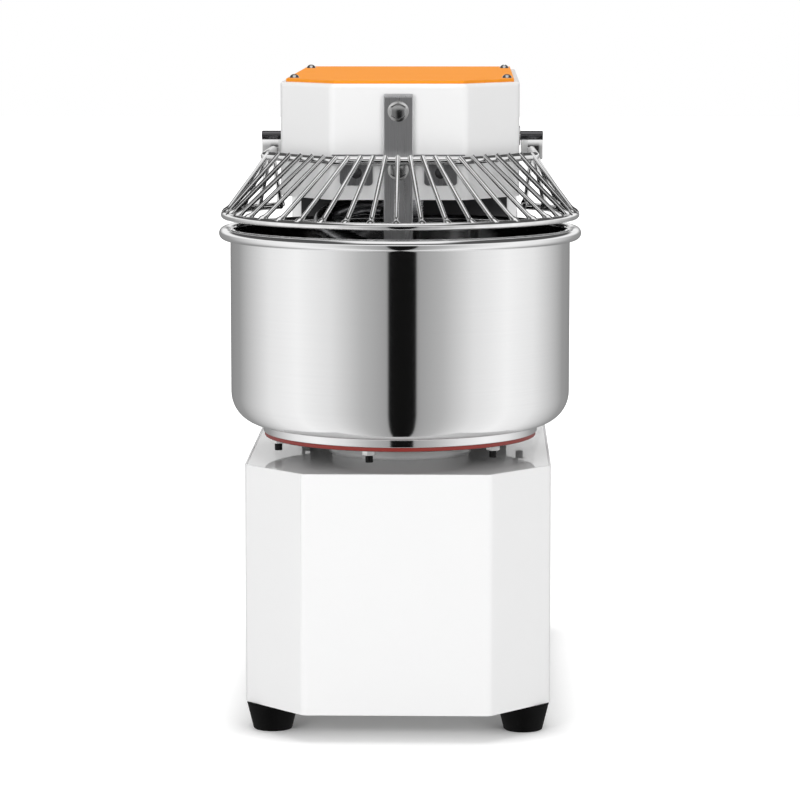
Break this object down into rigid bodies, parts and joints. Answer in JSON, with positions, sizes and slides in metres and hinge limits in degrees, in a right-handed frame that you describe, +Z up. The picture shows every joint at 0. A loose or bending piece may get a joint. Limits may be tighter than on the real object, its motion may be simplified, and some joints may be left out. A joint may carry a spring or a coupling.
{
  "type": "spiral dough mixer",
  "caption": "Floor-standing spiral dough mixer: chamfered white body, turning steel bowl, spiral hook, breaker bar and a hinged wire guard over the bowl.",
  "frame": {"origin": "middle of the footprint on the floor, under the machine", "axes": "+Z up, the bowl and the front panel face -Y, +X is to the right seen from the front"},
  "size_m": [0.384, 0.67, 0.679],
  "materials": {
    "white_paint": "gloss white powder coat",
    "orange_paint": "gloss orange paint",
    "dark_panel": "satin dark grey paint",
    "zinc_steel": "bright zinc plate",
    "black_rubber": "matt moulded rubber",
    "brushed_stainless": "brushed stainless",
    "black_steel": "black oxide",
    "black_plastic": "moulded plastic",
    "machined_steel": "ground steel",
    "motor_casting": "grey casting",
    "polished_stainless": "polished stainless",
    "red_seal": "red oxide paint",
    "chromed_wire": "chromed wire",
    "brass_cam": "machined brass",
    "green_plastic": "gloss green",
    "red_plastic": "gloss red"
  },
  "bodies": {
    "frame": {"base_shell": "white_paint", "base_deck": "white_paint", "base_floor": "zinc_steel", "feet": "black_rubber", "foot_bolts": "zinc_steel", "column_shell": "white_paint", "splash_panel": "dark_panel", "head_shell": "white_paint", "head_floor": "dark_panel", "top_cover": "orange_paint", "top_cover_screws": "zinc_steel", "rear_cover": "white_paint", "rear_cover_screws": "zinc_steel", "breaker_bar": "brushed_stainless", "breaker_bolts": "zinc_steel", "guard_rest_left": "brushed_stainless", "guard_rest_right": "brushed_stainless", "guard_rest_screws": "black_steel", "hinge_bush_left": "zinc_steel", "hinge_bush_right": "zinc_steel", "guard_switch": "black_plastic", "bowl_bearing_housing": "white_paint", "bowl_bearing_upper": "machined_steel", "bowl_bearing_lower": "machined_steel", "spiral_bearing_lower": "machined_steel", "spiral_bearing_upper": "machined_steel", "drive_bearing_lower": "machined_steel", "drive_bearing_upper": "machined_steel", "bearing_plate": "zinc_steel", "drive_plate": "zinc_steel", "motor_body": "motor_casting", "v_belt": "black_rubber", "bowl_chain": "black_steel", "spiral_chain": "black_steel", "control_plate": "brushed_stainless", "button_bezels": "black_plastic", "cable_gland": "black_plastic"},
    "bowl": {"bowl_pan": "polished_stainless", "bowl_base_ring": "polished_stainless", "turntable": "red_seal", "bowl_bolts": "zinc_steel", "bowl_shaft": "machined_steel", "bowl_sprocket": "black_steel"},
    "spiral": {"spiral_hook": "polished_stainless", "spiral_shaft": "machined_steel", "spiral_sprocket": "black_steel"},
    "drive": {"drive_shaft": "machined_steel", "drive_pulley": "motor_casting", "high_sprocket": "black_steel", "low_sprocket": "black_steel"},
    "motor": {"motor_shaft": "machined_steel", "motor_pulley": "motor_casting"},
    "guard": {"guard_grille": "chromed_wire", "guard_shaft": "chromed_wire", "guard_cam": "brass_cam"},
    "start": {"start_button": "green_plastic"},
    "stop": {"stop_button": "red_plastic"},
    "timer": {"timer_knob": "black_plastic"}
  },
  "joints": [
    {"name": "bowl_spin", "type": "hinge", "parent": "frame", "child": "bowl", "pos_m": [0, -0.143, 0.3], "axis": [0, 0, 1], "continuous": true},
    {"name": "spiral_spin", "type": "hinge", "parent": "frame", "child": "spiral", "pos_m": [0, -0.091, 0.56], "axis": [0, 0, 1], "continuous": true},
    {"name": "drive_spin", "type": "hinge", "parent": "frame", "child": "drive", "pos_m": [0, 0.162, 0.4], "axis": [0, 0, 1], "continuous": true},
    {"name": "motor_spin", "type": "hinge", "parent": "frame", "child": "motor", "pos_m": [0.09, 0.252, 0.19], "axis": [0, 0, 1], "continuous": true},
    {"name": "guard_lift", "type": "hinge", "parent": "frame", "child": "guard", "pos_m": [0, -0.034, 0.61], "axis": [-1, 0, 0], "range_deg": [0, 80]},
    {"name": "start_press", "type": "slide", "parent": "frame", "child": "start", "axis": [-1, 0, 0], "range_m": [0, 0.0035], "stiffness_N_per_m": 600},
    {"name": "stop_press", "type": "slide", "parent": "frame", "child": "stop", "axis": [-1, 0, 0], "range_m": [0, 0.0035], "stiffness_N_per_m": 600},
    {"name": "timer_turn", "type": "hinge", "parent": "frame", "child": "timer", "pos_m": [0.126, 0.202, 0.423], "axis": [1, 0, 0], "range_deg": [-150, 150]}
  ],
  "couplings": [
    {"joint": "drive_spin", "follows": "bowl_spin", "ratio": 4},
    {"joint": "spiral_spin", "follows": "bowl_spin", "ratio": 3},
    {"joint": "motor_spin", "follows": "bowl_spin", "ratio": 10.667}
  ]
}
